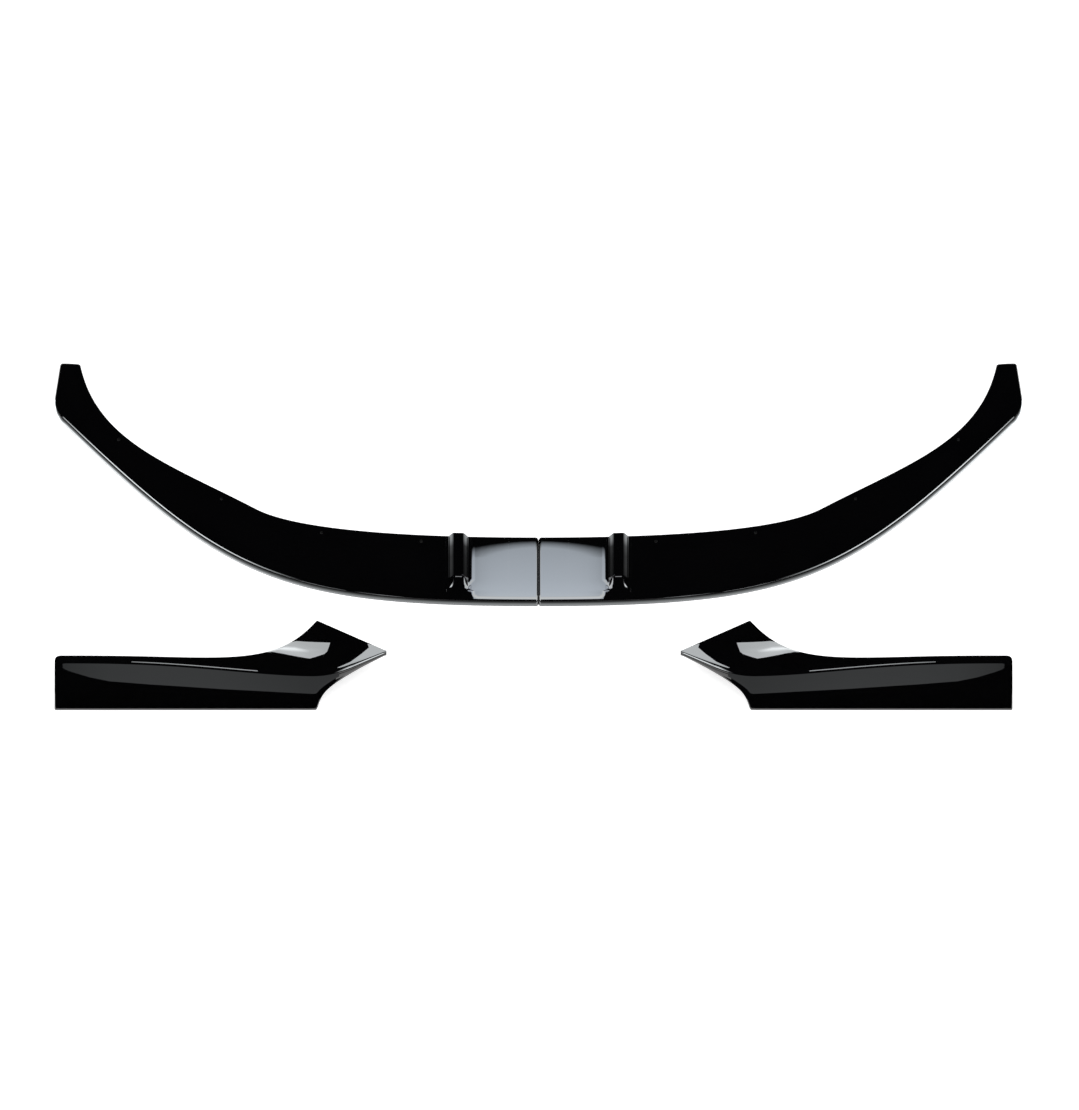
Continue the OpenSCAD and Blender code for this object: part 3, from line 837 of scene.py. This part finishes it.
# The floor
# A plain white studio floor that keeps the soft shadow of the set. To the camera and in the
# gloss it glows a little, so that it shows as white without more light on the pieces.
floor_reach, floor_level = 30, -0.0003
floor_mesh = bpy.data.meshes.new("floor")
around = (-1, -1), (1, -1), (1, 1), (-1, 1)
floor_mesh.from_pydata(
    [(x * floor_reach, y * floor_reach, floor_level) for x, y in around], [], [(0, 1, 2, 3)])
floor = set_out("floor", floor_mesh)


def bare_paint(name):
    """A material with no nodes yet."""
    paint = bpy.data.materials.new(name)
    paint.use_nodes = True
    paint.node_tree.nodes.clear()
    return paint


floor_paint = bare_paint("studio_floor")
tree = floor_paint.node_tree
matt = add_node(tree, "ShaderNodeBsdfDiffuse", {"Color": (0.80, 0.80, 0.80, 1)})
rays = add_node(tree, "ShaderNodeLightPath").outputs
seen = Field(tree, rays["Is Camera Ray"]).most(Field(tree, rays["Is Glossy Ray"]))
seen = seen.most(Field(tree, rays["Is Transmission Ray"]))
glow = add_node(tree, "ShaderNodeEmission", {"Strength": seen * 0.68})
both = add_node(tree, "ShaderNodeAddShader", {0: matt.outputs[0], 1: glow.outputs[0]})
add_node(tree, "ShaderNodeOutputMaterial", {"Surface": both.outputs[0]})
floor_mesh.materials.append(floor_paint)

# The room
# A white backdrop that only the camera sees, even soft light from all round, and darkness in the
# gloss where no card stands.
room = bpy.data.worlds.new("room")
bpy.context.scene.world = room
room.use_nodes = True
tree = room.node_tree
tree.nodes.clear()
rays = add_node(tree, "ShaderNodeLightPath").outputs
soft = add_node(tree, "ShaderNodeBackground", {"Color": (1, 1, 1, 1), "Strength": 0.62})
white = add_node(tree, "ShaderNodeBackground", {"Color": (1, 1, 1, 1), "Strength": 1.0})
dark = add_node(tree, "ShaderNodeBackground", {"Color": (0, 0, 0, 1)})
in_gloss = add_node(tree, "ShaderNodeMixShader", {
    0: rays["Is Glossy Ray"], 1: soft.outputs[0], 2: dark.outputs[0]})
shown = add_node(tree, "ShaderNodeMixShader", {
    0: rays["Is Camera Ray"], 1: in_gloss.outputs[0], 2: white.outputs[0]})
add_node(tree, "ShaderNodeOutputWorld", {"Surface": shown.outputs[0]})

# The camera
# Straight ahead of the set, 60 degrees above the floor, with a lens so long that it shows
# everything at one scale.
camera_rise, camera_distance = math.radians(60), 6
camera_data = bpy.data.cameras.new("camera")
camera_data.type = "ORTHO"
camera_data.ortho_scale = 2.009
camera_data.clip_end = 100
camera = set_out("camera", camera_data)
away = Vector((0, -math.cos(camera_rise), math.sin(camera_rise)))
camera.location = Vector((0.0018, -0.0341, 0)) + away * camera_distance
camera.rotation_euler = away.to_track_quat("Z", "Y").to_euler()
bpy.context.scene.camera = camera
bpy.context.scene.view_settings.view_transform = "Standard"

# The card over the panel
# Lit cards and black flags stand round the set out of the picture, so that the lacquer mirrors a
# studio and not an empty room. Only mirror reflections see them. The first hangs over the
# middle: the panel between the fins mirrors it as a grey field with a soft arched top.


def card(name, rows, strength, shares=1.0, tint=(0.94, 0.98, 1.0)):
    """A glowing sheet through rows of points; shares is each row's or point's part of its light."""
    length, across = len(rows), len(rows[0])
    faces = [(i * across + j, i * across + j + 1, (i + 1) * across + j + 1, (i + 1) * across + j)
             for i in range(length - 1) for j in range(across - 1)]
    mesh = bpy.data.meshes.new(name)
    mesh.from_pydata([tuple(point) for row in rows for point in row], [], faces)
    shares = np.array(shares, dtype=float)
    shares = shares[:, None] if shares.ndim == 1 else shares
    keep(mesh, "share", np.broadcast_to(shares, (length, across)).ravel())
    sheet = set_out(name, mesh)
    sheet.visible_camera = sheet.visible_diffuse = False
    sheet.visible_shadow = sheet.visible_transmission = False
    paint = bare_paint(name)
    tree = paint.node_tree
    share = add_node(tree, "ShaderNodeAttribute", attribute_name="share").outputs["Fac"]
    glow = add_node(tree, "ShaderNodeEmission", {
        "Color": (*tint, 1), "Strength": Field(tree, share) * strength})
    add_node(tree, "ShaderNodeOutputMaterial", {"Surface": glow.outputs[0]})
    mesh.materials.append(paint)


def seen_in(place, normal, axis, level):
    """The point, level along one axis, that the camera sees in a mirror at this place."""
    normal = Vector(normal).normalized()
    ray = -away + 2 * away.dot(normal) * normal
    return Vector(place) + ray * ((level - place[axis]) / ray[axis])


panel_card_height, panel_inset = 0.14, 0.0015
arch_back, arch_drop = 0.118, 0.017


def panel_mirror(across_share, behind, level=panel_card_height):
    """The point at this level that is seen this far across the panel and behind the lip's edge."""
    share = behind / blade_depth
    slope = (rear_height - front_height + 4 * crown * (1 - 2 * share) + panel_dip) / blade_depth
    horn = min((behind - horn_at) / horn_back, (horn_at - behind) / horn_lead) + 1
    half = panel_out - panel_inset + horn_out * min(1.0, max(0.0, horn))
    place = (across_share * half, leading_edge + behind, front_height + slope * behind)
    return seen_in(place, (0, -slope, 1), 2, level)


field_rows = [0.008, horn_at - horn_back, horn_at, horn_at + horn_lead / 2, horn_at + horn_lead,
              0.070, 0.090]
across_shares = np.linspace(-1, 1, 17)
edge_shares = 1 - 0.22 * np.abs(across_shares) ** 6
rows = [[panel_mirror(k, behind) for k in across_shares] for behind in field_rows]
for soft in (-0.009, -0.002, 0.004):
    rows.append([panel_mirror(k, arch_back - arch_drop * k**2 + soft * (1 + k**2))
                 for k in across_shares])
fading = [1.25, 1.16, 1.14, 1.1, 1.06, 0.98, 0.92, 0.86, 0.45, 0.0]
card("panel card", rows, 6.1, np.outer(fading, edge_shares), tint=(0.86, 0.95, 1.06))

# The cards for the panel's bright lines
# The panel's sloping sides and front mirror them as lines of light. Each sheet stands edge on
# for the flat field, which doesn't see it.


def cards(name, rows, strength, shares=1.0, shift=0.0):
    """A card and its twin, turned over left to right."""
    card(name, rows, strength, shares)
    card(name, [[(shift - x, y, z) for x, y, z in row] for row in rows], strength, shares)


side_line_out, front_line_back = 0.055, 0.016
side_line = [[(side_line_out, y, z) for y in (-0.110, 0.025)] for z in (0.085, 0.138)]
cards("side line card", side_line, 7.5)
front_line = [[panel_mirror(k, front_line_back, z) for k in (-1, 1)] for z in (0.017, 0.138)]
card("front line card", front_line, 7.0)

# The cards beside the fins
# They stand upright beside each fin. Its flanks mirror their lit feet as soft grey strips that
# brighten towards the rear.
fin_card_clear = 0.005
fin_card_in = fin_out - fin_foot - fin_card_clear
fin_card_out = fin_out + fin_foot + fin_card_clear
fin_card_y = -0.090, -0.070, -0.048, -0.027, -0.012, 0.030
fin_card_z = 0.016, 0.034, 0.042, 0.055, 0.137
for beside, shares in ((fin_card_in, (0.07, 0.09, 0.11, 0.20, 1.4, 2.5)),
                       (fin_card_out, (0.14, 0.21, 0.21, 0.42, 1.5, 2.5))):
    cards("fin card", [[(beside, y, z) for y in fin_card_y] for z in fin_card_z], 1.0,
          np.outer([1.0, 1.0, 0.6, 0.0, 0.0], shares))

# The flags and small cards at the fins' front ends
# A flag ahead of each fin card keeps the side cards out of the fin's front corners but for their
# feet. A small card low beside the foot is mirrored there as a dot, and one over the fin as a
# dash on its front edge.
fin_flag_y, fin_flag_top = (-0.1165, -0.0902), 0.137
for beside, fin_flag_foot in ((fin_card_in, 0.034), (fin_card_out, 0.016)):
    flag = [[(beside, y, z) for y in fin_flag_y] for z in (fin_flag_foot, fin_flag_top)]
    cards("fin flag", flag, 0.0)
fin_dot_out = fin_card_out - 0.0006
fin_dot = [[(fin_dot_out, y, z) for y in (-0.1175, -0.1110)] for z in (0.0215, 0.0310)]
cards("fin dot card", fin_dot, 11.0)
fin_dash_half, fin_dash_height, fin_crest = 0.006, 0.040, 0.0305
fin_crest_start = leading_edge + fin_start + fin_ramp
fin_dash = []
for tilt in (12, 22):
    ahead, up = heading(90 - tilt)
    fin_dash.append([
        seen_in((fin_out + k * fin_dash_half, fin_crest_start, fin_crest),
                (0, -ahead, up), 2, fin_dash_height) for k in (-1, 1)])
cards("fin dash card", fin_dash, 3.6)

# The cards at the sides
# They hang high over the ends of the set. The rounded front edge of each arm mirrors them as a
# line of light.
side_card, edge_step = 1.5, 0.001


def edge_direction(run):
    """The direction in which the front outline goes on from here."""
    here, ahead = front_edge(run), front_edge(run + edge_step)
    return (ahead - here) / np.linalg.norm(ahead - here)


def arm_mirror(run, tilt):
    """The point over the right arm that is seen in its front edge, where that faces so far up."""
    here, along = front_edge(run), edge_direction(run)
    out, up = heading(tilt)
    place = (here[0], here[1] + leading_edge, front_height)
    return seen_in(place, (out * along[1], -out * along[0], up), 2, side_card)


arm_tilts = (75.5, 68, 60, 52, 45.5)
arm_runs = [0.430, 0.460, 0.490, 0.530, 0.580, 0.640, 0.700, 0.760, 0.820, 0.845, 0.865]
arm_shares = [0.0, 0.15, 0.36, 0.75, 1.0, 1.05, 1.1, 1.1, 0.85, 0.6, 0.1]
cards("side card", [[arm_mirror(run, tilt) for run in arm_runs] for tilt in arm_tilts], 12.0,
      [arm_shares] * len(arm_tilts))

# The ribbon on the floor
# It lies ahead of the lip. The front face mirrors its light part, which is brighter along the
# arms, and the radius above that face mirrors its dark part.
ribbon_height, ribbon_step = 0.0004, 0.02
ribbon, ribbon_shares = [], []
for distance, middle_share, arm_share in (
        (0.0003, 2.6, 8.0), (0.0015, 2.5, 5.5), (0.003, 2.4, 2.6), (0.0045, 2.1, 0.9),
        (0.0075, 0.7, 0.15), (0.010, 0.05, 0.0), (0.100, 0.0, 0.0)):
    row, row_shares = [], []
    for run in even(0.0, run_cheek, ribbon_step):
        here, along = front_edge(run), edge_direction(run)
        row.append((here[0] + distance * along[1], here[1] - distance * along[0] + leading_edge,
                    ribbon_height))
        turned = min(1.0, along[1] / heading(cheek_angle)[1])
        row_shares.append(middle_share + (arm_share - middle_share) * turned)
    ribbon.append(row)
    ribbon_shares.append(row_shares)
cards("floor ribbon", ribbon, 1.0, ribbon_shares)

# The strip cards over the corner pieces
# The crease of each corner piece mirrors them over part of its length. Black flags keep the side
# cards out of the rest of the crease and out of the plain ends.
strip_card = 0.17


def crest_slope(x):
    return (corner_crest(x + edge_step) - corner_crest(x)) / edge_step


def crease_mirror(x, tilt):
    """The point over the left bar that is seen in its crease at x, facing so far from the rear."""
    station = corner_station(x)
    ahead, up = heading(tilt)
    centre = Vector((x, station["face"] + crease_radius, station["crest"] - crease_radius))
    normal = Vector((-crest_slope(x) * up, ahead, up)).normalized()
    return seen_in(laid @ (centre + crease_radius * normal), laid.to_3x3() @ normal, 2, strip_card)


crease_tilts = (125, 131, 137)
crease_runs = [0.139, 0.160, 0.200, 0.250, 0.300, 0.367]
cards("strip card", [[crease_mirror(x, tilt) for x in crease_runs] for tilt in crease_tilts], 5.0,
      [[0.7, 0.85, 1.0, 1.1, 1.1, 1.1]] * len(crease_tilts), across)
crease_flag = [[(low.x + x, y, 0.15) for x in (-0.01, 0.125)] for y in (-0.40, -0.22)]
end_flag = [[(low.x - 0.008, y, z) for z in (0.03, 0.22)] for y in (-0.38, -0.26)]
for flag in (crease_flag, end_flag):
    cards("black flag", flag, 0.0, shift=across)

# The face cards ahead of the corner pieces
# The upper part of each bar's face mirrors a dim card. The lower part mirrors a black flag that
# lies on the floor and rises behind the card.
face_card = -0.420


def face_mirror(x, up):
    """The point ahead of the left bar that is seen at x, this share of the way up its face."""
    station = corner_station(x)
    height = station["crest"] - crease_radius - station["under"]
    swell = 4 * face_swell * height / bar_height
    place = laid @ Vector(
        (x, station["face"] - swell * up * (1 - up), station["under"] + up * height))
    normal = laid.to_3x3() @ Vector((0, -1, -swell * (1 - 2 * up) / height))
    return seen_in(place, normal, 1, face_card)


face_runs = (0.0145, 0.020, 0.031, 0.064, 0.100, 0.173, 0.300, 0.390, 0.472)
grey_from = (0.945, 0.905, 0.86, 0.75, 0.67, 0.62, 0.58, 0.57, 0.53)
grey_to = (0.955, 0.985, 0.99, 0.99, 0.99, 0.99, 1.0, 1.0, 1.0)
face_rows = [[face_mirror(x, up) for x, up in zip(face_runs, ups)] for ups in (grey_from, grey_to)]
face_rows = [row + [row[-1] + Vector((0.14, 0, 0))] for row in face_rows]
cards("face card", face_rows, 0.62,
      [[0.65, 0.68, 0.75, 0.85, 0.95, 1.0, 1.0, 0.9, 0.8, 0.8]] * 2, across)
flag_ends = low.x - 0.05, high.x - 0.01
flag_rows = (low.y - 0.007, 0.0006), (face_card - 0.001, 0.0006), (face_card - 0.001, 0.25)
cards("face flag", [[(x, y, z) for x in flag_ends] for y, z in flag_rows], 0.0, shift=across)

# The wing cards over the corner pieces
# Each wing mirrors them as a bright patch by its heel, with a streak of light in it, and as a
# lighter tip.
wing_card = -0.222


def wing_mirror(x, y):
    """The point over the left wing that is seen at this place of its top face."""
    return seen_in(laid @ Vector((x, y, corner_crest(x))),
                   laid.to_3x3() @ Vector((-crest_slope(x), 0, 1)), 1, wing_card)


patch = [[(0.380, 0.100), (0.405, 0.100), (0.435, 0.100), (0.465, 0.098), (0.499, 0.096)],
         [(0.380, 0.084), (0.405, 0.084), (0.435, 0.083), (0.465, 0.082), (0.497, 0.085)],
         [(0.382, 0.076), (0.408, 0.076), (0.435, 0.075), (0.463, 0.073), (0.495, 0.076)],
         [(0.385, 0.069), (0.410, 0.068), (0.436, 0.066), (0.462, 0.065), (0.493, 0.068)],
         [(0.390, 0.063), (0.412, 0.059), (0.436, 0.053), (0.462, 0.047), (0.488, 0.061)]]
patch_shares = [[0.9, 0.9, 0.9, 0.9, 0.9],
                [0.95, 1.0, 1.0, 0.9, 0.85],
                [1.2, 2.0, 1.9, 1.0, 0.85],
                [1.0, 1.1, 1.1, 0.95, 0.85],
                [0.95, 0.95, 0.95, 0.95, 0.95]]
tip = [[(0.5665, 0.094), (0.569, 0.081), (0.556, 0.062), (0.535, 0.036), (0.513, 0.010)],
       [(0.620, 0.094), (0.620, 0.081), (0.600, 0.050), (0.570, 0.020), (0.530, -0.005)]]
for name, outline, strength, shares in (("patch card", patch, 4.6, patch_shares),
                                        ("tip card", tip, 4.4, 1.0)):
    cards(name, [[wing_mirror(*place) for place in line] for line in outline], strength, shares,
          across)

# The lamp
# One wide soft lamp high over the set, hidden from the gloss, for the soft shadow under the
# pieces.
lamp_data = bpy.data.lights.new("overhead lamp", "AREA")
lamp_data.shape, lamp_data.size, lamp_data.size_y, lamp_data.energy = "RECTANGLE", 3.0, 2.0, 40
lamp = set_out("overhead lamp", lamp_data)
lamp.location = (0, -0.3, 2.6)
lamp.visible_glossy = False
